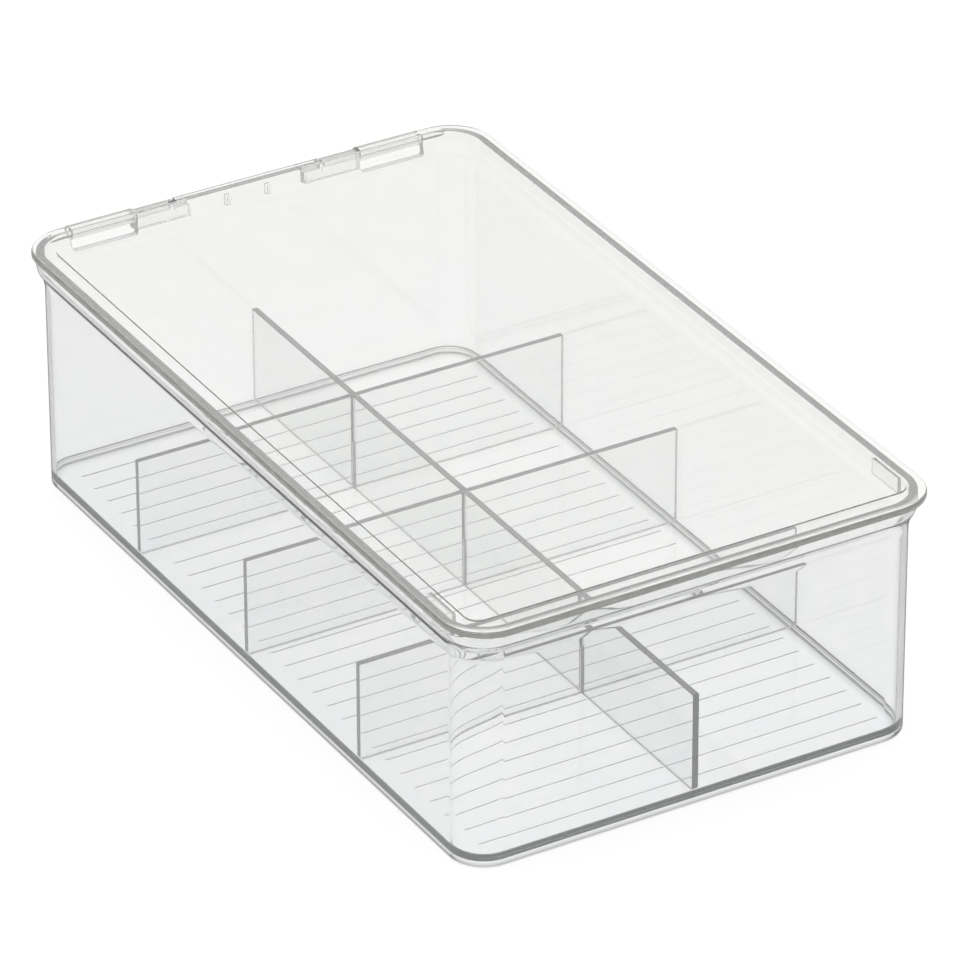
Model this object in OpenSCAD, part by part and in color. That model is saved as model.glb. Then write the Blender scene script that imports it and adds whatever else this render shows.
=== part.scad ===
// Clear tea bag organizer box: a moulded bin with a floor of low ribs, half-lapped divider
// plates that make eight compartments, and a flat lid that turns on two hinge pins at the back.
// X runs across the box, Y runs from front to back (the hinge is at the back), Z is up.
// The origin is at the middle of the box, on the surface that it stands on.

/* [Bin] */
// Inside width, between the two long walls
inner_w = 172; // [140:1:220]
// Inside length, from the front wall to the back wall
inner_l = 303.5; // [250:0.5:400]
// Height of the bin, from its foot to the top of its rim
bin_h = 92.8; // [70:0.1:140]
// Thickness of the walls
wall_t = 2.3; // [1.6:0.1:3.2]
// Thickness of the floor
floor_t = 2.4; // [2:0.1:4]
// Height of the foot ring below the floor
foot_h = 2.1; // [1:0.1:5]
// Outside radius of the upright corners
corner_r = 13.5; // [8:0.5:20]
// Fillet between the floor and the walls
floor_fillet = 1.0; // [0.5:0.1:2]

/* [Rim] */
// Height of the upright band that the lid lies on
rim_h = 5.4; // [4:0.1:9]
// Thickness of the rim band
rim_w = 2.8; // [1.8:0.1:3.2]
// How far the rim band stands out past the wall
flare_out = 2.8; // [1:0.1:2.9]
// Height of the flare under the rim band on the outside
flare_h = 8.2; // [5:0.1:12]
// Height of the flare beside the rim band on the inside
flare_in_h = 7; // [4:0.1:10]

/* [Floor ribs] */
// Distance from one floor rib to the next
rib_pitch = 10; // [6:0.5:20]
// Width of a floor rib
rib_w = 1.5; // [1:0.1:3]
// Height of a floor rib
rib_h = 0.15; // [0.1:0.05:0.5]
// Distance from the rib ends to the long walls
rib_end_gap = 6.5; // [3:0.5:15]
// Distance from the back wall to the first rib
rib_first = 14.75; // [8:0.25:20]
// Least distance from the last rib to the front wall
rib_last = 8; // [5:0.5:15]

/* [Dividers] */
// Number of compartments along the length
bays = 4; // [2:1:6]
// Length of each of the middle compartments, from divider to divider
bay_pitch = 78.5; // [50:0.5:95]
// Height of the dividers above the floor
divider_h = 38; // [20:1:60]
// Thickness of the dividers
divider_t = 2.4; // [1.6:0.1:3.2]
// Clearance round the dividers, at the floor, the walls and the half laps
divider_gap = 0.1; // [0.05:0.05:0.4]

/* [Lid] */
// Thickness of the lid plate
lid_t = 2.1; // [1.6:0.1:3]
// Gap between the rim and the closed lid
lid_gap = 0.15; // [0.1:0.05:0.5]
// How far the lid reaches past each long wall
lid_side = 4.55; // [3:0.05:8]
// How far the lid reaches past the front wall, for the fingers
lid_front = 6.15; // [4:0.05:12]
// How far the lid reaches past the back wall
lid_back = 3.4; // [3:0.1:3.8]
// Radius of the lid corners
lid_corner_r = 17; // [10:0.5:24]
// How far the middle panel of the lid rises above its border, for the foot of a box stacked on it
panel_rise = 0.4; // [0.2:0.1:1.5]
// Clearance between the panel and the foot ring of a box stacked on it
panel_gap = 0.9; // [0.4:0.05:1.5]
// Width of the flat strip of the lid in front of the back wall
hinge_strip = 8; // [7:0.5:20]
// Corner radius of the panel
panel_r = 5; // [4:0.5:12]

/* [Locating tabs] */
// Length of each tab under the lid
tab_l = 16; // [8:1:30]
// Thickness of each tab
tab_t = 1.4; // [1:0.1:2.5]
// How far each tab hangs below the lid plate
tab_drop = 6; // [3:0.1:6.5]
// How far the tabs stand out past the inner faces of the walls, into the wider rim
tab_out = 1; // [0:0.1:1.2]
// Distance from the front wall to the tab
tab_front = 10.5; // [9:0.5:40]

/* [Hinge] */
// Distance of the hinge axis behind the outer face of the back wall
axis_back = 2.95; // [2.9:0.05:3.2]
// Distance of the hinge axis below the top of the rim
axis_down = 1.3; // [1.2:0.1:4]
// Outer radius of the hinge barrels on the lid
barrel_r = 3.2; // [2.6:0.1:3.4]
// Outer radius of the bosses that hold the pins
boss_r = 2.7; // [2.2:0.1:3]
// Length of a boss
boss_l = 15.5; // [8:0.5:18]
// Thickness of the closed end of a boss, which the pin stops against
boss_end = 1.5; // [1:0.1:3]
// Distance from the middle of the box to the inner side of a hinge window
window_in = 45.5; // [36:0.5:46]
// Width of a hinge window in the back wall
window_w = 26.5; // [16:0.5:27]
// Height of a hinge window, down from the top of the rim
window_h = 8.0; // [7:0.1:12]
// Radius of the lower corners of a hinge window
window_r = 1.6; // [0.5:0.1:3]
// Width of the bracket under a boss
bracket_w = 22; // [18:0.5:24]
// Distance from the top of the rim to the underside of the brackets
bracket_h = 7.8; // [6:0.1:11]
// How far the shoulder of a bracket lies below the hinge axis, where it stops the open lid
shoulder_down = 1.7; // [1.5:0.1:2.5]
// Diameter of the hinge pins
pin_d = 2.8; // [2:0.1:3]
// Gap between the end of a pin and the end of its barrel
pin_short = 0.5; // [0.2:0.1:2]
// Radial running clearance between pin and barrel
pin_clear = 0.08; // [0.03:0.01:0.1]
// Radial clearance of a pin in its boss
pin_seat_clear = 0.02; // [0.01:0.01:0.05]
// Radial clearance of the groove in the rim that the pin is slid in along, from the corner
groove_clear = 0.3; // [0.1:0.05:0.6]
// Length of that groove
groove_l = 10; // [9:0.5:14]
// Gap at each end of a barrel
barrel_gap = 0.5; // [0.3:0.1:1]
// Gap between a boss and the notch in the lid that it stands in
notch_gap = 0.5; // [0.3:0.1:1]
// Distance between the two small ribs under the back rim
gusset_spacing = 16.4; // [10:0.2:30]
// Thickness of the small ribs under the back rim
gusset_t = 1.7; // [1:0.1:3]
// How far the small ribs reach past the outer face of the back wall
gusset_depth = 3.5; // [2.5:0.1:4]

/* [Hidden] */
$fn = 96;

over = 0.5;            // how far joined shapes reach into each other
through = 4;           // how far a cut reaches past the faces it opens
clear_tint = [0.86, 0.90, 0.90, 0.45];
plate_tint = [0.80, 0.86, 0.86, 0.55];
pin_tint = [0.70, 0.76, 0.78, 0.80];

floor_top = foot_h + floor_t;
outer_w = inner_w + 2 * wall_t;
outer_l = inner_l + 2 * wall_t;
inner_r = corner_r - wall_t;
flare_in = wall_t + flare_out - rim_w;
flare_top = bin_h - rim_h;
// Radius of an arc that starts upright and moves sideways by `out` over a height of `h`
function flare_radius(out, h) = (h * h + out * out) / (2 * out);

lid_bottom = bin_h + lid_gap;
lid_top = lid_bottom + lid_t;
lid_y0 = -outer_l / 2 - lid_front;
lid_y1 = outer_l / 2 + lid_back;
panel_w = inner_w - 2 * panel_gap;
panel_y0 = -inner_l / 2 + panel_gap;
panel_y1 = inner_l / 2 - hinge_strip;
foot_z = bin_h - bracket_h;

axis_y = outer_l / 2 + axis_back;
axis_z = bin_h - axis_down;
window_out = window_in + window_w;
boss_x = window_in - boss_l;
pin_x = boss_x + boss_end;
pin_l = window_out - barrel_gap - pin_short - pin_x;

// Places of the cross dividers, from the back to the front
function cross_y(i) = (bays / 2 - i) * bay_pitch;

rib_curve = (rib_h * rib_h + rib_w * rib_w / 4) / (2 * rib_h);
rib_count = floor((inner_l - rib_first - rib_last) / rib_pitch) + 1;
function rib_y(i) = inner_l / 2 - rib_first - i * rib_pitch;
function rib_clear(y) =
    min([for (i = [1 : bays - 1]) abs(y - cross_y(i))]) > (divider_t + rib_w) / 2 + divider_gap;

// Flat outline with round corners, w by l, from y0 upwards
module outline(w, y0, y1, r) {
    translate([-w / 2 + r, y0]) square([w - 2 * r, y1 - y0]);
    translate([-w / 2, y0 + r]) square([w, y1 - y0 - 2 * r]);
    for (x = [-w / 2 + r, w / 2 - r], y = [y0 + r, y1 - r])
        translate([x, y]) circle(r);
}

module slab(w, l, r, z0, z1) {
    translate([0, 0, z0]) linear_extrude(z1 - z0) outline(w, -l / 2, l / 2, r);
}

// Sweeps a flat section (across, up) round a rounded rectangle. The section's zero lies
// on the corner centres, so a point at `r` follows the outline itself.
module around(w, l, r) {
    side_x = w / 2 - r;
    side_y = l / 2 - r;
    for (turn = [0 : 3])
        translate([(turn == 0 || turn == 3) ? side_x : -side_x, turn < 2 ? side_y : -side_y, 0])
            rotate([0, 0, 90 * turn]) rotate_extrude(angle = 90) children();
    for (turn = [0 : 3]) {
        along = turn % 2 == 0 ? side_y : side_x;
        out = turn % 2 == 0 ? side_x : side_y;
        rotate([0, 0, 90 * turn]) translate([out, along, 0])
            rotate([90, 0, 0]) linear_extrude(2 * along) children();
    }
}

// Section between an upright face and the arc that leaves it, with the rim band above the arc
module flare_section(out, h, band) {
    radius = flare_radius(out, h);
    difference() {
        translate([-over, 0]) square([over + out, h + band]);
        translate([radius, 0]) circle(radius);
    }
}

module bin_outside() {
    slab(outer_w, outer_l, corner_r, 0, bin_h);
    around(outer_w, outer_l, corner_r)
        translate([corner_r, flare_top - flare_h]) flare_section(flare_out, flare_h, rim_h);
}

module bin_inside() {
    slab(inner_w, inner_l, inner_r, floor_top + floor_fillet, bin_h + through);
    slab(inner_w - 2 * floor_fillet, inner_l - 2 * floor_fillet, inner_r - floor_fillet,
         floor_top, bin_h);
    around(inner_w, inner_l, inner_r)
        translate([inner_r - floor_fillet, floor_top + floor_fillet]) circle(floor_fillet, $fn = 32);
    around(inner_w, inner_l, inner_r)
        translate([inner_r, flare_top - flare_in_h])
            flare_section(flare_in, flare_in_h, rim_h + through);
}

module hinge_window() {
    translate([0, outer_l / 2 - wall_t - over, 0]) rotate([90, 0, 0]) mirror([0, 0, 1])
        linear_extrude(wall_t + flare_out + over + through) {
            z0 = bin_h - window_h;
            translate([window_in + window_r, z0]) square([window_w - 2 * window_r, window_h + through]);
            translate([window_in, z0 + window_r]) square([window_w, window_h + through]);
            for (x = [window_in + window_r, window_out - window_r])
                translate([x, z0 + window_r]) circle(window_r, $fn = 48);
        }
}

// Section of the foot of a bracket (Y, Z), up to the shoulder that stops the lid
module bracket_section() {
    translate([outer_l / 2 - over, foot_z])
        square([over + axis_back + boss_r, axis_z - shoulder_down - foot_z]);
}

// Section of a boss on its bracket (Y, Z)
module boss_section() {
    translate([outer_l / 2 - over, foot_z]) square([over + axis_back + boss_r, axis_z - foot_z]);
    translate([axis_y, axis_z]) circle(boss_r);
}

// Stands a (Y, Z) section upright and runs it along X from x0 for a length of w
module along_x(x0, w) {
    translate([x0, 0, 0]) rotate([90, 0, 90]) linear_extrude(w) children();
}

// Round rod on the hinge axis, from x0 for a length of l
module rod_x(x0, r, l) {
    translate([x0, axis_y, axis_z]) rotate([0, 90, 0]) cylinder(r = r, h = l);
}

// Round-ended rod, sunk so far that a ridge of rib_h of it stands out of the floor
module floor_rib(y) {
    reach = inner_w / 2 - rib_end_gap;
    translate([0, y, floor_top - rib_curve + rib_h]) rotate([0, 90, 0]) rotate_extrude($fn = 32)
        intersection() {
            union() {
                translate([0, rib_curve - reach]) square([rib_curve, 2 * (reach - rib_curve)]);
                for (end = [-1, 1]) translate([0, end * (reach - rib_curve)]) circle(rib_curve);
            }
            translate([0, -reach]) square([rib_curve, 2 * reach]);
        }
}

// The ribs, down to a little below the floor's top, with a free lane for the long divider
module bin_ribs() {
    slot_w = divider_t + 2 * divider_gap;
    lane_w = (inner_w - slot_w) / 2;
    intersection() {
        for (i = [0 : rib_count - 1])
            if (rib_clear(rib_y(i))) floor_rib(rib_y(i));
        for (x = [-inner_w / 2, slot_w / 2])
            translate([x, -inner_l / 2, floor_top - over]) cube([lane_w, inner_l, 2 * over]);
    }
}

module bin() {
    color(clear_tint) difference() {
        union() {
            difference() {
                bin_outside();
                bin_inside();
                slab(inner_w, inner_l, inner_r, -through, foot_h);
                for (side = [0, 1]) mirror([side, 0, 0]) hinge_window();
            }
            bin_ribs();
            for (side = [0, 1]) mirror([side, 0, 0]) {
                along_x(window_in - bracket_w, bracket_w) bracket_section();
                along_x(boss_x, boss_l) boss_section();
                along_x((gusset_spacing - gusset_t) / 2, gusset_t)
                    translate([outer_l / 2 - over, foot_z])
                        square([over + gusset_depth, axis_z - shoulder_down - foot_z]);
            }
        }
        for (side = [0, 1]) mirror([side, 0, 0]) {
            rod_x(pin_x, pin_d / 2 + pin_seat_clear, window_in + through - pin_x);
            rod_x(window_out - through, pin_d / 2 + groove_clear, through + groove_l);
        }
    }
}

// Divider plate of length l along X, with its lower corners cut back over the floor fillet.
// The half laps at `laps` are open at the top or at the bottom.
module divider_plate(l, laps, open_top) {
    z0 = floor_top + divider_gap;
    z1 = floor_top + divider_h;
    mid = (z0 + z1) / 2;
    cut = floor_fillet + divider_gap;
    lap_w = divider_t + 2 * divider_gap;
    rotate([90, 0, 0]) translate([0, 0, -divider_t / 2]) linear_extrude(divider_t) difference() {
        polygon([[-l / 2 + cut, z0], [l / 2 - cut, z0], [l / 2, z0 + cut], [l / 2, z1],
                 [-l / 2, z1], [-l / 2, z0 + cut]]);
        for (x = laps)
            translate([x - lap_w / 2, open_top ? mid - divider_gap / 2 : z0 - through])
                square([lap_w, (z1 - z0 + divider_gap) / 2 + through]);
    }
}

module long_divider() {
    color(plate_tint) rotate([0, 0, 90])
        divider_plate(inner_l - 2 * divider_gap, [for (i = [1 : bays - 1]) cross_y(i)], true);
}

module cross_divider(i) {
    color(plate_tint) translate([0, cross_y(i), 0])
        divider_plate(inner_w - 2 * divider_gap, [0], false);
}

// Barrel of the hinge with the neck that joins it to the lid plate
module hinge_knuckle() {
    along_x(window_in + barrel_gap, window_w - 2 * barrel_gap) {
        translate([axis_y, axis_z]) circle(barrel_r);
        translate([axis_y - barrel_r, axis_z])
            square([lid_y1 - axis_y + barrel_r, lid_bottom - axis_z + over]);
    }
}

// Notch in the back edge of the lid, round a boss
module boss_notch() {
    translate([boss_x - notch_gap, axis_y - boss_r - notch_gap, lid_bottom - over])
        cube([boss_l + notch_gap + barrel_gap, boss_r + notch_gap + through, lid_t + 2 * over]);
}

module locating_tab() {
    translate([inner_w / 2 + tab_out - tab_t, tab_front - inner_l / 2, lid_bottom - tab_drop])
        cube([tab_t, tab_l, tab_drop + over]);
}

module lid() {
    color(clear_tint) difference() {
        union() {
            difference() {
                translate([0, 0, lid_bottom]) linear_extrude(lid_t)
                    outline(outer_w + 2 * lid_side, lid_y0, lid_y1, lid_corner_r);
                for (side = [0, 1]) mirror([side, 0, 0]) boss_notch();
            }
            translate([0, 0, lid_top - over]) linear_extrude(over + panel_rise)
                outline(panel_w, panel_y0, panel_y1, panel_r);
            for (side = [0, 1]) mirror([side, 0, 0]) {
                hinge_knuckle();
                locating_tab();
            }
        }
        for (side = [0, 1]) mirror([side, 0, 0])
            rod_x(window_in, pin_d / 2 + pin_clear, window_w);
    }
}

module hinge_pin(side) {
    color(pin_tint) mirror([side, 0, 0]) rod_x(pin_x, pin_d / 2, pin_l);
}

bin();
long_divider();
cross_divider(1);  // cross_divider_rear
cross_divider(2);  // cross_divider_middle
cross_divider(3);  // cross_divider_front
lid();
hinge_pin(1);  // hinge_pin_left
hinge_pin(0);  // hinge_pin_right
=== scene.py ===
"""Clear tea bag organizer box: a moulded bin, a hinged lid, half-lapped divider plates and two pins.

Sizes are in millimetres, as in the CAD source, and become metres where a mesh is made.
X runs across the box, Y from front to back (the hinge is at the back), Z is up.
"""

import math

import bpy
from mathutils import Matrix, Vector


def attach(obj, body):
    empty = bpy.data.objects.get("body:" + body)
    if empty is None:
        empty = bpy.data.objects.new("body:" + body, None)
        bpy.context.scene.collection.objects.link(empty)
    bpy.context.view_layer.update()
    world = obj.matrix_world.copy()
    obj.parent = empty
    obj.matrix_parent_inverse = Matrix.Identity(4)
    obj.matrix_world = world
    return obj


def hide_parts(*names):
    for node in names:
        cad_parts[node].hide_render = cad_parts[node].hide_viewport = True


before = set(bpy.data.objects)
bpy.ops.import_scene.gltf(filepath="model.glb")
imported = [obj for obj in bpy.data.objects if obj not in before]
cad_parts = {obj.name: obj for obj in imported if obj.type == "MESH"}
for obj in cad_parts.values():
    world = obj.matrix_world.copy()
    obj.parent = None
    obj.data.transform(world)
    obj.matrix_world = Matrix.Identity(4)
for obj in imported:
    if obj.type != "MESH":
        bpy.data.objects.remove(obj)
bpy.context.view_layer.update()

MM = 0.001
CORNER_STEPS, ROUND_STEPS, FLARE_STEPS = 28, 8, 10
BOSS_STEPS, BARREL_STEPS, RIB_STEPS, RIB_END_STEPS = 20, 40, 24, 12
BORE_SIDES, PIN_SIDES = 24, 48
MOST_EASE = 0.45  # share of a side that the rounding of one corner may take

# Bin
INNER_W, INNER_L = 172.0, 303.5
BIN_H = 92.8
WALL, FLOOR, FOOT = 2.3, 2.4, 2.1
CORNER_R = 13.5
FLOOR_FILLET = 1.0
BASE_ROUND, FOOT_ROUND_IN, FOOT_ROUND_OUT = 0.4, 0.35, 1.2
RIM_H, RIM_W, FLARE_OUT, FLARE_H, FLARE_IN_H = 5.4, 2.8, 2.8, 8.2, 7.0
RIM_ROUND, FLARE_ROUND = 0.7, 2.2
RIM_GROOVE_W, RIM_GROOVE_DEPTH, RIM_GROOVE_ROUND = 0.7, 0.25, 0.5
RIB_PITCH, RIB_W, RIB_H, RIB_END_GAP = 10.0, 1.5, 0.15, 6.5
RIB_FIRST, RIB_LAST = 14.75, 8.0

# Dividers
BAYS, BAY_PITCH = 4, 78.5
DIVIDER_H, DIVIDER_T, DIVIDER_GAP, DIVIDER_ROUND = 38.0, 2.4, 0.1, 0.25

# Lid
LID_T, LID_GAP = 2.1, 0.15
LID_SIDE, LID_FRONT, LID_BACK, LID_R = 4.55, 6.15, 3.4, 17.0
LID_ROUND_LOW, LID_ROUND_TOP = 0.5, 1.2
PANEL_RISE, PANEL_GAP, HINGE_STRIP, PANEL_R = 0.4, 0.9, 8.0, 5.0
PANEL_LEAN, PANEL_ROUND_LOW, PANEL_ROUND_TOP = 0.12, 0.1, 0.15
TAB_L, TAB_T, TAB_DROP, TAB_OUT, TAB_FRONT, TAB_ROUND = 16.0, 1.4, 6.0, 1.0, 10.5, 0.4

# Hinge
AXIS_BACK, AXIS_DOWN = 2.95, 1.3
BARREL_R, BOSS_R, BOSS_L, BOSS_END = 3.2, 2.7, 15.5, 1.5
WINDOW_IN, WINDOW_W, WINDOW_H, WINDOW_R = 45.5, 26.5, 8.0, 1.6
BRACKET_W, BRACKET_H, SHOULDER_DOWN = 22.0, 7.8, 1.7
BRACKET_ROUND, SHOULDER_ROUND = 0.3, 0.2
PIN_D, PIN_SHORT, PIN_CLEAR, PIN_SEAT_CLEAR, PIN_ROUND = 2.8, 0.5, 0.08, 0.02, 0.3
GROOVE_CLEAR, GROOVE_L = 0.3, 10.0
BARREL_GAP, NOTCH_GAP = 0.5, 0.5
GUSSET_SPACING, GUSSET_T, GUSSET_DEPTH = 16.4, 1.7, 3.5

# Help for the making
OVER = 0.5      # how far joined shapes reach into each other
THROUGH = 4.0   # how far a cut reaches past the faces it opens
RIB_SUNK = 0.3  # how far the ribs' bodies reach into the floor
CAP_IN, LID_CAP_IN = 2.0, 3.0  # how far inside an edge its flat cap begins

FLOOR_TOP = FOOT + FLOOR
OUTER_W, OUTER_L = INNER_W + 2 * WALL, INNER_L + 2 * WALL
LID_BOTTOM = BIN_H + LID_GAP
LID_TOP = LID_BOTTOM + LID_T
FOOT_Z = BIN_H - BRACKET_H
SHOULDER_Z = BIN_H - AXIS_DOWN - SHOULDER_DOWN
AXIS_Y, AXIS_Z = OUTER_L / 2 + AXIS_BACK, BIN_H - AXIS_DOWN
WINDOW_OUT = WINDOW_IN + WINDOW_W
BOSS_X = WINDOW_IN - BOSS_L
PIN_X = BOSS_X + BOSS_END
PIN_L = WINDOW_OUT - BARREL_GAP - PIN_SHORT - PIN_X


# ---------------------------------------------------------------- outlines

def arc(centre, radius, start, end, steps):
    """Points of an arc, from start to end in degrees."""
    angles = [math.radians(start + (end - start) * i / steps) for i in range(steps + 1)]
    return [(centre[0] + radius * math.cos(a), centre[1] + radius * math.sin(a)) for a in angles]


def eased(outline, closed=True):
    """Rounds an outline: a corner (a, b, r) becomes a curve that starts and ends r away from it."""
    points = []
    count = len(outline)
    for i, corner in enumerate(outline):
        here = Vector(corner[:2])
        ends = not closed and i in (0, count - 1)
        if len(corner) < 3 or ends:
            points.append(tuple(here))
            continue
        near = []
        for other in (outline[i - 1], outline[(i + 1) % count]):
            way = Vector(other[:2]) - here
            near.append(here + way.normalized() * min(corner[2], way.length * MOST_EASE))
        for k in range(ROUND_STEPS + 1):
            t = k / ROUND_STEPS
            points.append(tuple(near[0] * (1 - t) ** 2 + here * 2 * t * (1 - t) + near[1] * t * t))
    return points


def circle(centre, radius, sides):
    """Points round a circle."""
    return arc(centre, radius, 0, 360 - 360 / sides, sides - 1)


def flare(start, out, low, high):
    """Points of an arc that leaves an upright face at `low`, and is `out` further out at `high`."""
    height = high - low
    radius = (height * height + out * out) / (2 * out)
    rise = [height * i / FLARE_STEPS for i in range(FLARE_STEPS + 1)]
    return [(start + radius - math.sqrt(radius * radius - h * h), low + h) for h in rise]


def round_rect(x0, x1, y0, y1, r):
    """Points round a rectangle with round corners, anticlockwise."""
    corners = ((x1 - r, y1 - r), (x0 + r, y1 - r), (x0 + r, y0 + r), (x1 - r, y0 + r))
    return [p for i, c in enumerate(corners) for p in arc(c, r, 90 * i, 90 * i + 90, CORNER_STEPS)]


# ---------------------------------------------------------------- solids

def solid(name, rings):
    """A closed mesh through rings of points (mm), joined one to the next and capped at both ends."""
    count = len(rings[0])
    points = [[c * MM for c in p] for ring in rings for p in ring]
    faces = []
    for low in range(0, len(points) - count, count):
        high = low + count
        for i in range(count):
            j = (i + 1) % count
            faces.append((low + i, low + j, high + j, high + i))
    faces.append(tuple(range(count))[::-1])
    faces.append(tuple(range(len(points) - count, len(points))))
    mesh = bpy.data.meshes.new(name)
    mesh.from_pydata(points, [], faces)
    piece = bpy.data.objects.new(name, mesh)
    bpy.context.scene.collection.objects.link(piece)
    return piece


def along_x(name, outline, x0, x1):
    """A (Y, Z) outline run along X."""
    low, high = sorted((x0, x1))
    return solid(name, [[(x, *p) for p in outline] for x in (low, high)])


def along_y(name, outline, y0, y1):
    """An (X, Z) outline run along Y."""
    return solid(name, [[(p[0], y, p[1]) for p in outline] for y in (y1, y0)])


def joined(pieces):
    """One object from several that don't touch."""
    first = pieces[0]
    with bpy.context.temp_override(active_object=first, selected_editable_objects=pieces):
        bpy.ops.object.join()
    return first


def combine(target, operation, pieces):
    """Adds the pieces to the target, or cuts them out of it."""
    tool = joined(pieces)
    change = target.modifiers.new(operation, "BOOLEAN")
    change.operation = operation
    change.solver = "EXACT"
    change.object = tool
    graph = bpy.context.evaluated_depsgraph_get()
    mesh = bpy.data.meshes.new_from_object(target.evaluated_get(graph))
    target.modifiers.clear()
    target.data = mesh
    bpy.data.objects.remove(tool)


def mirrored(make):
    """The pieces that `make` gives for the right side (1) and for the left side (-1)."""
    return [piece for side in (1, -1) for piece in make(side)]


def smooth(piece, sharp_above=18):
    """Shades the round stretches smooth, with the flat faces kept flat."""
    piece.data.shade_smooth()
    piece.data.set_sharp_from_angle(angle=math.radians(sharp_above))
    weights = piece.modifiers.new("even_shading", "WEIGHTED_NORMAL")
    weights.keep_sharp = True
    weights.weight = 100


# ---------------------------------------------------------------- bin

def bin_ring(offset, z):
    """The outline of the bin's walls, moved outwards by `offset`, at height z."""
    w, l = OUTER_W / 2 + offset, OUTER_L / 2 + offset
    return [(x, y, z) for x, y in round_rect(-w, w, -l, l, CORNER_R + offset)]


def bin_body():
    """Walls, floor, foot ring, flare and rim: one outline that runs once round the bin."""
    inside = -WALL
    rim_in, rim_low = FLARE_OUT - RIM_W, BIN_H - RIM_H
    rim_mid = FLARE_OUT - RIM_W / 2
    outer_flare = flare(0, FLARE_OUT, rim_low - FLARE_H, rim_low)
    inner_flare = flare(inside, rim_in - inside, rim_low - FLARE_IN_H, rim_low)[::-1]
    groove = RIM_GROOVE_W / 2
    outline = [
        (inside - CAP_IN, FOOT), (inside, FOOT, BASE_ROUND),
        (inside, 0, FOOT_ROUND_IN), (0, 0, FOOT_ROUND_OUT),
        *outer_flare[:-3], (*outer_flare[-1], FLARE_ROUND),
        (FLARE_OUT, BIN_H, RIM_ROUND),
        (rim_mid + groove, BIN_H, RIM_GROOVE_ROUND),
        (rim_mid, BIN_H - RIM_GROOVE_DEPTH, RIM_GROOVE_ROUND),
        (rim_mid - groove, BIN_H, RIM_GROOVE_ROUND),
        (rim_in, BIN_H, RIM_ROUND),
        (*inner_flare[0], FLARE_ROUND), *inner_flare[3:],
        (inside, FLOOR_TOP, FLOOR_FILLET), (inside - CAP_IN, FLOOR_TOP),
    ]
    return solid("clear_bin", [bin_ring(*p) for p in eased(outline, closed=False)])


def hinge_window(side):
    """Cutter for the window in the back rim that a barrel of the lid turns in."""
    low, reach = BIN_H - WINDOW_H, WINDOW_R
    x0, x1 = sorted((side * WINDOW_IN, side * WINDOW_OUT))
    top = BIN_H + THROUGH
    outline = [(x0, top), *arc((x0 + reach, low + reach), reach, 180, 270, ROUND_STEPS),
               *arc((x1 - reach, low + reach), reach, 270, 360, ROUND_STEPS), (x1, top)]
    return [along_y("window", outline, OUTER_L / 2 - WALL - OVER, OUTER_L / 2 + FLARE_OUT + THROUGH)]


def shelf(back):
    """Outline of a shelf that stands out of the back wall, from the wall to `back`."""
    wall = OUTER_L / 2 - OVER
    return eased([(wall, FOOT_Z), (back, FOOT_Z, BRACKET_ROUND),
                  (back, SHOULDER_Z, SHOULDER_ROUND), (wall, SHOULDER_Z)])


def bracket(side):
    """Bracket beside a window, and the small rib near the middle of the back wall."""
    near, far = WINDOW_IN - BRACKET_W, WINDOW_IN
    low = (GUSSET_SPACING - GUSSET_T) / 2
    high = low + GUSSET_T
    return [along_x("bracket", shelf(AXIS_Y + BOSS_R), side * near, side * far),
            along_x("gusset", shelf(OUTER_L / 2 + GUSSET_DEPTH), side * low, side * high)]


def boss(side):
    """Boss on a bracket that holds the pin."""
    wall, back = OUTER_L / 2 - OVER, AXIS_Y + BOSS_R
    top = arc((AXIS_Y, AXIS_Z), BOSS_R, 0, 180, BOSS_STEPS)
    foot = eased([(wall, FOOT_Z), (back, FOOT_Z, BRACKET_ROUND), (back, AXIS_Z)], closed=False)
    outline = [*foot, *top[1:], (wall, AXIS_Z)]
    return [along_x("boss", outline, side * BOSS_X, side * WINDOW_IN)]


def pin_cut(x0, length, radius):
    """Cutters for a round bore on the hinge axis, on both sides."""
    outline = circle((AXIS_Y, AXIS_Z), radius, BORE_SIDES)
    return mirrored(lambda side: [along_x("bore", outline, side * x0, side * (x0 + length))])


def floor_rib(y, side):
    """Half of a rib, from the long divider's slot to its round end near the wall."""
    curve = (RIB_H ** 2 + RIB_W ** 2 / 4) / (2 * RIB_H)
    middle, low = FLOOR_TOP + RIB_H - curve, FLOOR_TOP - RIB_SUNK
    inner, outer = DIVIDER_T / 2 + DIVIDER_GAP, INNER_W / 2 - RIB_END_GAP
    lean = math.degrees(math.asin((low - middle) / curve))
    stations = [(inner, curve)] + arc((outer - curve, 0), curve, 90, lean + 2, RIB_END_STEPS)
    rings = []
    for x, r in stations:
        start = math.degrees(math.asin((low - middle) / r))
        section = arc((0, 0), r, start, 180 - start, RIB_STEPS)
        rings.append([(side * x, y + a, middle + b) for a, b in section])
    return solid("rib", rings if side > 0 else rings[::-1])


def floor_ribs():
    count = math.floor((INNER_L - RIB_FIRST - RIB_LAST) / RIB_PITCH) + 1
    places = [INNER_L / 2 - RIB_FIRST - i * RIB_PITCH for i in range(count)]
    room = (DIVIDER_T + RIB_W) / 2 + DIVIDER_GAP
    clear = [y for y in places if all(abs(y - d) > room for d in divider_places())]
    return [floor_rib(y, side) for y in clear for side in (1, -1)]


def make_bin():
    piece = bin_body()
    combine(piece, "DIFFERENCE", mirrored(hinge_window))
    combine(piece, "UNION", mirrored(bracket) + floor_ribs())
    combine(piece, "UNION", mirrored(boss))
    bores = pin_cut(PIN_X, WINDOW_IN + THROUGH - PIN_X, PIN_D / 2 + PIN_SEAT_CLEAR)
    grooves = pin_cut(WINDOW_OUT - THROUGH, THROUGH + GROOVE_L, PIN_D / 2 + GROOVE_CLEAR)
    combine(piece, "DIFFERENCE", bores + grooves)
    return piece


# ---------------------------------------------------------------- dividers

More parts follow.
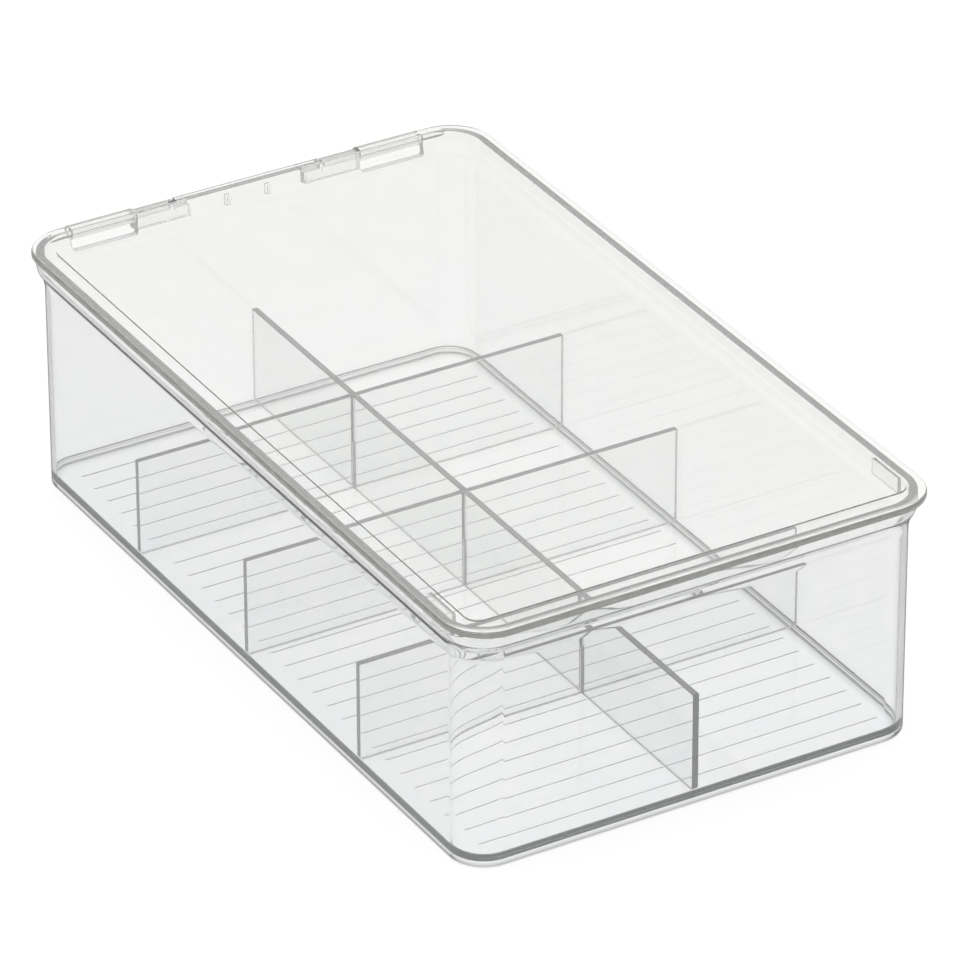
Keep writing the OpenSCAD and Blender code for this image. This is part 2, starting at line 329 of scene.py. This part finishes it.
def divider_places():
    """Places of the cross dividers along Y, from the back to the front."""
    return [(BAYS / 2 - i) * BAY_PITCH for i in range(1, BAYS)]


def divider_outline(length, laps, open_top):
    """A plate seen from the side, with half laps at `laps` that open upwards or downwards."""
    low, high = FLOOR_TOP + DIVIDER_GAP, FLOOR_TOP + DIVIDER_H
    middle, cut = (low + high) / 2, FLOOR_FILLET + DIVIDER_GAP
    half, lap = length / 2, DIVIDER_T / 2 + DIVIDER_GAP
    if open_top:
        mouth, end = high, middle - DIVIDER_GAP / 2
    else:
        mouth, end = low, middle + DIVIDER_GAP / 2
    notches = [p for x in sorted(laps)
               for p in ((x - lap, mouth), (x - lap, end), (x + lap, end), (x + lap, mouth))]
    bottom, top = ([], notches[::-1]) if open_top else (notches, [])
    return [(-half, low + cut), (-half + cut, low), *bottom, (half - cut, low), (half, low + cut),
            (half, high), *top, (-half, high)]


def divider(name, length, laps, open_top):
    """A divider plate along X, with its edges rounded."""
    outline = divider_outline(length, laps, open_top)
    piece = along_y(name, outline, -DIVIDER_T / 2, DIVIDER_T / 2)
    bevel = piece.modifiers.new("rounded_edges", "BEVEL")
    bevel.width = DIVIDER_ROUND * MM
    bevel.segments = 3
    bevel.limit_method = "ANGLE"
    bevel.angle_limit = math.radians(30)
    return piece


# ---------------------------------------------------------------- lid

def lid_ring(offset, z):
    """The outline of the lid plate, moved inwards by `offset`, at height z."""
    w = OUTER_W / 2 + LID_SIDE - offset
    front, back = -OUTER_L / 2 - LID_FRONT + offset, OUTER_L / 2 + LID_BACK - offset
    return [(x, y, z) for x, y in round_rect(-w, w, front, back, LID_R - offset)]


def panel_ring(offset, z):
    """The outline of the raised panel, moved inwards by `offset`, at height z."""
    w = INNER_W / 2 - PANEL_GAP - offset
    front, back = -INNER_L / 2 + PANEL_GAP + offset, INNER_L / 2 - HINGE_STRIP - offset
    return [(x, y, z) for x, y in round_rect(-w, w, front, back, max(PANEL_R - offset, 0.5))]


def lid_body():
    """Plate of the lid with its raised panel."""
    edge = eased([(LID_CAP_IN, LID_BOTTOM), (0, LID_BOTTOM, LID_ROUND_LOW),
                  (0, LID_TOP, LID_ROUND_TOP), (LID_CAP_IN, LID_TOP)], closed=False)
    panel_top = LID_TOP + PANEL_RISE
    step = eased([(-CAP_IN, LID_TOP), (0, LID_TOP, PANEL_ROUND_LOW),
                  (PANEL_LEAN, panel_top, PANEL_ROUND_TOP), (CAP_IN, panel_top)], closed=False)
    return solid("clear_lid", [lid_ring(*p) for p in edge] + [panel_ring(*p) for p in step])


def boss_notch(side):
    """Cutter for the notch that leaves room for a boss."""
    front, back = AXIS_Y - BOSS_R - NOTCH_GAP, AXIS_Y + THROUGH
    low, high = LID_BOTTOM - OVER, LID_TOP + OVER
    outline = [(front, low), (back, low), (back, high), (front, high)]
    return [along_x("notch", outline, side * (BOSS_X - NOTCH_GAP), side * (WINDOW_IN + BARREL_GAP))]


def knuckle(side):
    """Barrel of the hinge with the neck that joins it to the lid plate."""
    back = OUTER_L / 2 + LID_BACK
    lean = math.degrees(math.acos((back - AXIS_Y) / BARREL_R))
    barrel = arc((AXIS_Y, AXIS_Z), BARREL_R, 180, 360 + lean, BARREL_STEPS)
    inside = LID_BOTTOM + OVER
    outline = barrel + [(back, inside), (AXIS_Y - BARREL_R, inside)]
    x0, x1 = WINDOW_IN + BARREL_GAP, WINDOW_OUT - BARREL_GAP
    return [along_x("knuckle", outline, side * x0, side * x1)]


def locating_tab(side):
    """Tab under the lid that centres it in the rim."""
    outer, inner = side * (INNER_W / 2 + TAB_OUT), side * (INNER_W / 2 + TAB_OUT - TAB_T)
    low, high = LID_BOTTOM - TAB_DROP, LID_BOTTOM + OVER
    outline = eased([(outer, high), (outer, low, TAB_ROUND), (inner, low, TAB_ROUND), (inner, high)])
    front = -INNER_L / 2 + TAB_FRONT
    return [along_y("tab", outline if side < 0 else outline[::-1], front, front + TAB_L)]


def make_lid():
    piece = lid_body()
    combine(piece, "DIFFERENCE", mirrored(boss_notch))
    combine(piece, "UNION", mirrored(knuckle) + mirrored(locating_tab))
    combine(piece, "DIFFERENCE", pin_cut(WINDOW_IN, WINDOW_W, PIN_D / 2 + PIN_CLEAR))
    return piece


def hinge_pin(name, side):
    """Rod with rounded ends on the hinge axis."""
    r, middle = PIN_D / 2, 0.02
    profile = eased([(0, middle), (0, r, PIN_ROUND), (PIN_L, r, PIN_ROUND), (PIN_L, middle)],
                    closed=False)
    rings = [[(side * (PIN_X + x), *p) for p in circle((AXIS_Y, AXIS_Z), q, PIN_SIDES)]
             for x, q in profile]
    return solid(name, rings if side > 0 else rings[::-1])


# ---------------------------------------------------------------- node maths

class Wire:
    """An output of a node. Arithmetic on wires adds Math nodes to their graph."""

    def __init__(self, graph, socket):
        self.graph = graph
        self.socket = socket

    def __add__(self, other):
        return self.graph.maths("ADD", self, other)

    def __sub__(self, other):
        return self.graph.maths("SUBTRACT", self, other)

    def __mul__(self, other):
        return self.graph.maths("MULTIPLY", self, other)

    def __radd__(self, other):
        return self.graph.maths("ADD", other, self)

    def __rsub__(self, other):
        return self.graph.maths("SUBTRACT", other, self)

    def __rmul__(self, other):
        return self.graph.maths("MULTIPLY", other, self)

    def __pow__(self, other):
        return self.graph.maths("POWER", self, other)

    def __rpow__(self, other):
        return self.graph.maths("POWER", other, self)


class Graph:
    """The node tree of one material or of the world."""

    def __init__(self, owner):
        owner.use_nodes = True
        self.tree = owner.node_tree
        self.tree.nodes.clear()

    def node(self, kind, settings, inputs, output=0):
        """Adds a node: its settings are set first, then the values or wires of its inputs."""
        node = self.tree.nodes.new(kind)
        for name, value in settings.items():
            setattr(node, name, value)
        for name, value in inputs.items():
            if isinstance(value, Wire):
                self.tree.links.new(value.socket, node.inputs[name])
            else:
                node.inputs[name].default_value = value
        return Wire(self, node.outputs[output]) if node.outputs else node

    def maths(self, operation, a, b):
        return self.node("ShaderNodeMath", {"operation": operation}, {0: a, 1: b})

    def most(self, *values):
        """The largest of several numbers."""
        found = values[0]
        for value in values[1:]:
            found = self.maths("MAXIMUM", found, value)
        return found

    def vector(self, operation, a, b=(0.0, 0.0, 0.0)):
        return self.node("ShaderNodeVectorMath", {"operation": operation}, {0: a, 1: b})

    def number(self, operation, a, b=(0.0, 0.0, 0.0)):
        """The number that a vector sum gives, such as a length."""
        return self.node("ShaderNodeVectorMath", {"operation": operation}, {0: a, 1: b}, "Value")

    def axis(self, vector, letter):
        return self.node("ShaderNodeSeparateXYZ", {}, {"Vector": vector}, letter)

    def blend(self, share, a, b):
        """Colour a where the share is 0 and colour b where it is 1."""
        return self.node("ShaderNodeMix", {"data_type": "RGBA"}, {0: share, 6: a, 7: b}, 2)

    def between(self, value, low, high, to_low=0.0, to_high=1.0):
        """A smooth step from to_low, where the value is `low`, to to_high, where it is `high`."""
        return self.node("ShaderNodeMapRange", {"interpolation_type": "SMOOTHSTEP"}, {
            "Value": value, "From Min": low, "From Max": high, "To Min": to_low, "To Max": to_high})

    def noise(self, where, scale, detail):
        return self.node("ShaderNodeTexNoise", {}, {
            "Vector": where, "Scale": scale, "Detail": detail})

    def mix(self, share, a, b):
        return self.node("ShaderNodeMixShader", {}, {0: share, 1: a, 2: b})

    def light_path(self, ray):
        return self.node("ShaderNodeLightPath", {}, {}, ray)

    def bent(self):
        """1 for light that has been mirrored or has come through the plastic."""
        return self.most(self.light_path("Is Glossy Ray"), self.light_path("Is Transmission Ray"))


# ---------------------------------------------------------------- materials

IOR = 1.57
WAVE_SCALE, WAVE_DETAIL, WAVE_STRENGTH, WAVE_DEPTH = 35.0, 2.0, 0.1, 0.00015
MARK_STRETCH, MARK_SCALE, MARK_DETAIL, MARK_STEP = (260.0, 18.0, 120.0), 3.0, 3.0, (0.62, 0.78)
CLOUD_SCALE, CLOUD_DETAIL, CLOUD_STEP, CLOUD_LIFT = 90.0, 4.0, (0.35, 0.75), 1.01
POLISH = 0.004                       # roughness between the marks
LOW_Z, HIGH_Z = 0.01, 0.08           # metres above the table; LOW_TINT fades out between them
LOW_TINT = (0.970, 0.978, 0.984, 1)  # of plastic near the table
GRAZING_PAINTED_SHADE = (0.22, 0.23, 0.23, 1)    # painted shade on surfaces seen at a grazing angle, in place of the dark that bent light gives at edges
OUTLINE_PAINTED_SHADE = (0.10, 0.10, 0.09, 1)     # painted dark line where a surface turns away from the eye
EDGE_STEP, RIM_STEP = (0.73, 0.88), (0.78, 0.91)  # 0 is a surface seen square on, 1 edge on
RIM_SHARE = 0.80                     # how much of that line hides what is behind it
RIM_MATT, RIM_CLOUDS, RIM_GLOSS = 0.6, 0.1, 0.1
SHADOW_TINT = (0.97, 0.975, 0.975, 1)

ROOM_DIM = 0.14                      # room beyond the table, mirrored or seen through the plastic
SWEEP_LIGHT = 0.8                    # white sweep behind the table, seen in the same way
SWEEP = (0.5, 0.866, 0.0)            # where it stands, seen from the table
SWEEP_STEP = (0.1, 0.8)              # how its edges fade: 1 is straight at it, 0 square to it
SKY_LOW, SKY_HIGH = 0.20, 0.45       # sines of elevation; the room turns white between them
ECHO = 0.72                          # how much of the light each reflection keeps
TABLE_NEAR, TABLE_FAR = 1.4, 2.6     # metres from the box; the table fades into the room between
FAR_TONE = (0.92, 1.0, 1.06, 1)      # cast of the far table
ROOM_TONE = (1.08, 1.08, 0.90, 1)    # cast of the low part of the room
WHITE = (1, 1, 1, 1)
FLOOR_TONE = (0.93, 0.93, 0.93, 1)
FOOT_SHADE, SIDE_SHADE = 0.08, 0.8   # light left on the table under the foot, and beside it
BASE_SHADE, FAR_SHADE = 0.7, 0.97    # the same under the base, near the foot and further in
SHADOW_SHARE = 0.3                   # how much of the table's look is its lit and shaded surface


def clear_plastic(name, tint, depth_tint, density, haze, passed):
    """Moulded clear plastic: slightly wavy, with a faint haze and fine handling marks, with painted
    shade where a surface is seen at a grazing angle and a painted dark outline where it turns away
    from the eye.
    """
    material = bpy.data.materials.new(name)
    graph = Graph(material)
    where = graph.node("ShaderNodeTexCoord", {}, {}, "Object")
    stretched = graph.node("ShaderNodeMapping", {}, {"Vector": where, "Scale": MARK_STRETCH})
    marks = graph.between(graph.noise(stretched, MARK_SCALE, MARK_DETAIL), *MARK_STEP)
    clouds = graph.between(graph.noise(where, CLOUD_SCALE, CLOUD_DETAIL), *CLOUD_STEP)
    flow = graph.noise(where, WAVE_SCALE, WAVE_DETAIL)
    waves = graph.node("ShaderNodeBump", {}, {
        "Strength": WAVE_STRENGTH, "Distance": WAVE_DEPTH, "Height": flow})
    grazing = graph.node("ShaderNodeLayerWeight", {}, {"Blend": 0.5}, "Facing")

    high = graph.between(graph.axis(where, "Z"), LOW_Z, HIGH_Z)
    colour = graph.blend(high, LOW_TINT, (*tint, 1))
    colour = graph.blend(clouds, colour, (*[min(1, c * CLOUD_LIFT) for c in tint], 1))
    # painted shade: surfaces seen at a grazing angle turn dark grey
    colour = graph.blend(graph.between(grazing, *EDGE_STEP), colour, GRAZING_PAINTED_SHADE)
    plastic = graph.node("ShaderNodeBsdfPrincipled", {}, {
        "Base Color": colour, "Roughness": POLISH + clouds * haze + marks * haze,
        "Transmission Weight": passed, "IOR": IOR, "Normal": waves})
    # painted shade: a dark matt surface mixed in as a thin dark outline where a surface turns away
    # from the eye
    painted_outline = graph.node("ShaderNodeBsdfPrincipled", {}, {
        "Base Color": OUTLINE_PAINTED_SHADE, "Roughness": RIM_MATT + clouds * RIM_CLOUDS,
        "Specular IOR Level": RIM_GLOSS, "Normal": waves})
    plastic = graph.mix(graph.between(grazing, *RIM_STEP, 0.0, RIM_SHARE), plastic, painted_outline)
    shadow = graph.node("ShaderNodeBsdfTransparent", {}, {"Color": SHADOW_TINT})
    surface = graph.mix(graph.light_path("Is Shadow Ray"), plastic, shadow)
    depth = graph.node("ShaderNodeVolumeAbsorption", {}, {
        "Color": (*depth_tint, 1), "Density": density})
    graph.node("ShaderNodeOutputMaterial", {}, {"Surface": surface, "Volume": depth})
    return material


def room_light(graph, way):
    """How bright the room is low down: dim all round, but for the white sweep behind the table."""
    return graph.between(graph.number("DOT_PRODUCT", way, SWEEP), *SWEEP_STEP, ROOM_DIM, SWEEP_LIGHT)


def echo(graph):
    """What is left of the light that has been mirrored on its way, outside or inside the plastic."""
    return ECHO ** graph.light_path("Glossy Depth")


def past_foot(graph, where):
    """How far a place on the table is outside the outline of the foot, in metres.

    It is negative under the box.
    """
    corner = (OUTER_W / 2 - CORNER_R) * MM, (OUTER_L / 2 - CORNER_R) * MM, 0.0
    away = graph.vector("SUBTRACT", graph.vector("ABSOLUTE", where), corner)
    beyond = graph.number("LENGTH", graph.vector("MAXIMUM", away))
    inside = graph.maths("MINIMUM", graph.most(graph.axis(away, "X"), graph.axis(away, "Y")), 0.0)
    return beyond + inside - CORNER_R * MM


def contact_shade(graph, where):
    """How much light is left on the table in the narrow gap under the foot and beside it."""
    out = past_foot(graph, where)
    deep, base, foot, middle, edge, beside = (mm * MM for mm in (-6.0, -3.2, -WALL, -1.4, -0.5, 3.0))
    under_base = graph.between(out, deep, base, FAR_SHADE, BASE_SHADE)
    under_foot = graph.between(out, base, foot, 1.0, FOOT_SHADE)
    at_edge = graph.between(out, middle, edge, FOOT_SHADE, SIDE_SHADE)
    past_edge = graph.between(out, 0.0, beside)
    return graph.most(under_base * under_foot, at_edge, past_edge)


def floor_material():
    """Pale studio floor. It shows mostly an even white, and part of it shows the shadow; in mirrors
    and through the plastic the white carries a painted contact shadow under and beside the foot.
    """
    material = bpy.data.materials.new("studio_floor")
    graph = Graph(material)
    where = graph.node("ShaderNodeTexCoord", {}, {}, "Object")
    direct = graph.light_path("Is Camera Ray")
    distance = graph.number("LENGTH", where)
    light = room_light(graph, graph.vector("NORMALIZE", where))
    table = graph.between(distance, TABLE_NEAR, TABLE_FAR, 1.0, light)
    tone = graph.blend(graph.between(distance, TABLE_NEAR, TABLE_FAR), WHITE, FAR_TONE)
    # painted contact shadow under and beside the foot, kept out of the camera's own view
    shade = graph.most(contact_shade(graph, where), direct)
    black = graph.node("ShaderNodeEmission", {}, {"Strength": 0.0})
    white = graph.node("ShaderNodeEmission", {}, {
        "Color": graph.blend(direct, tone, WHITE), "Strength": 1.0})
    even = graph.mix(graph.most(direct, table) * shade * echo(graph), black, white)
    lit = graph.node("ShaderNodeBsdfDiffuse", {}, {"Color": FLOOR_TONE})
    seen = graph.most(direct * (1.0 - SHADOW_SHARE), graph.bent())
    graph.node("ShaderNodeOutputMaterial", {}, {"Surface": graph.mix(seen, lit, even)})
    return material


def studio_world():
    """Even light: white to the eye, dimmer low down where it is mirrored or seen through plastic."""
    world = bpy.data.worlds.new("studio")
    bpy.context.scene.world = world
    graph = Graph(world)
    way = graph.node("ShaderNodeTexCoord", {}, {}, "Generated")
    height = graph.axis(way, "Z")
    level = graph.between(height, SKY_LOW, SKY_HIGH, room_light(graph, way), 1.0)
    bent = graph.bent()
    low = bent * graph.between(height, SKY_LOW, SKY_HIGH, 1.0, 0.0)
    light = graph.node("ShaderNodeBackground", {}, {
        "Color": graph.blend(low, WHITE, ROOM_TONE),
        "Strength": 1.0 - bent * (1.0 - level * echo(graph))})
    graph.node("ShaderNodeOutputWorld", {}, {"Surface": light})


# ---------------------------------------------------------------- studio

FLOOR_REACH = 12.0                   # metres from the middle to each side
LAMP_PLACE, LAMP_SIZE, LAMP_POWER = (-0.6, -0.4, 2.2), 1.6, 20.0
EYE = (-1.15595, -1.99500, 1.39561)  # metres
EYE_AZIMUTH, EYE_ELEVATION, EYE_ROLL = 30.216, 30.301, -0.162
LENS = 288.57
LIGHT_STEPS, MIRROR_STEPS = 32, 16   # how often light is followed through plastic, and mirrored


def floor():
    a = FLOOR_REACH
    mesh = bpy.data.meshes.new("studio_floor")
    mesh.from_pydata([(-a, -a, 0), (a, -a, 0), (a, a, 0), (-a, a, 0)], [], [(0, 1, 2, 3)])
    piece = bpy.data.objects.new("studio_floor", mesh)
    bpy.context.scene.collection.objects.link(piece)
    piece.data.materials.append(floor_material())


def softbox(name, place, size, power):
    """A square lamp that looks at the middle of the box."""
    lamp = bpy.data.lights.new(name, "AREA")
    lamp.shape = "SQUARE"
    lamp.size = size
    lamp.energy = power
    holder = bpy.data.objects.new(name, lamp)
    holder.location = place
    holder.rotation_euler = (Vector(place) * -1).to_track_quat("-Z", "Y").to_euler()
    bpy.context.scene.collection.objects.link(holder)


def camera():
    """Long lens from the front left, looking down."""
    azimuth, elevation, roll = (math.radians(a) for a in (EYE_AZIMUTH, EYE_ELEVATION, EYE_ROLL))
    look = Vector((math.sin(azimuth) * math.cos(elevation), math.cos(azimuth) * math.cos(elevation),
                   -math.sin(elevation)))
    level = Vector((math.cos(azimuth), -math.sin(azimuth), 0))
    upright = level.cross(look)
    right = level * math.cos(roll) + upright * math.sin(roll)
    up = upright * math.cos(roll) - level * math.sin(roll)
    lens = bpy.data.cameras.new("camera")
    lens.sensor_width = 36.0
    lens.lens = LENS
    lens.clip_start, lens.clip_end = 0.1, 50.0
    holder = bpy.data.objects.new("camera", lens)
    turn = Matrix((right, up, -look)).transposed().to_4x4()
    holder.matrix_world = Matrix.Translation(EYE) @ turn
    bpy.context.scene.collection.objects.link(holder)
    bpy.context.scene.camera = holder


# ---------------------------------------------------------------- build

def place(piece, node, body, slot, material):
    """Gives a piece its material and smooth shading, hides the node that it stands for, and hangs
    the piece on its body.
    """
    piece.data.materials.clear()
    piece.data.materials.append(material)
    smooth(piece)
    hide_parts(node)
    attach(piece, body)


bin_plastic = clear_plastic(
    "bin_plastic", tint=(0.978, 0.978, 0.972), depth_tint=(0.48, 0.52, 0.54),
    density=18.0, haze=0.012, passed=0.958)
lid_plastic = clear_plastic(
    "lid_plastic", tint=(0.980, 0.980, 0.970), depth_tint=(0.52, 0.54, 0.46),
    density=18.0, haze=0.012, passed=0.94)
divider_plastic = clear_plastic(
    "divider_plastic", tint=(0.98, 0.98, 0.972), depth_tint=(0.46, 0.50, 0.48),
    density=20.0, haze=0.012, passed=0.975)
pin_plastic = clear_plastic(
    "pin_plastic", tint=(0.98, 0.985, 0.985), depth_tint=(0.50, 0.56, 0.54),
    density=20.0, haze=0.008, passed=0.965)

place(make_bin(), "bin", "box", "clear_plastic", bin_plastic)
place(make_lid(), "lid", "lid", "clear_plastic", lid_plastic)

long_divider = divider("plate_long", INNER_L - 2 * DIVIDER_GAP, divider_places(), open_top=True)
long_divider.data.transform(Matrix.Rotation(math.radians(90), 4, "Z"))
place(long_divider, "long_divider", "box", "divider_plastic", divider_plastic)
for row, y in zip(("rear", "middle", "front"), divider_places()):
    cross = divider("plate_cross_" + row, INNER_W - 2 * DIVIDER_GAP, [0], open_top=False)
    cross.data.transform(Matrix.Translation((0, y * MM, 0)))
    place(cross, "cross_divider_" + row, "box", "divider_plastic", divider_plastic)
for name, side in (("left", -1), ("right", 1)):
    place(hinge_pin("pin_" + name, side), "hinge_pin_" + name, "box", "pin_plastic", pin_plastic)

floor()
studio_world()
softbox("overhead_lamp", LAMP_PLACE, LAMP_SIZE, LAMP_POWER)
camera()

scene = bpy.context.scene
scene.view_settings.view_transform = "Standard"
scene.cycles.max_bounces = LIGHT_STEPS
scene.cycles.transmission_bounces = LIGHT_STEPS
scene.cycles.transparent_max_bounces = LIGHT_STEPS
scene.cycles.glossy_bounces = MIRROR_STEPS
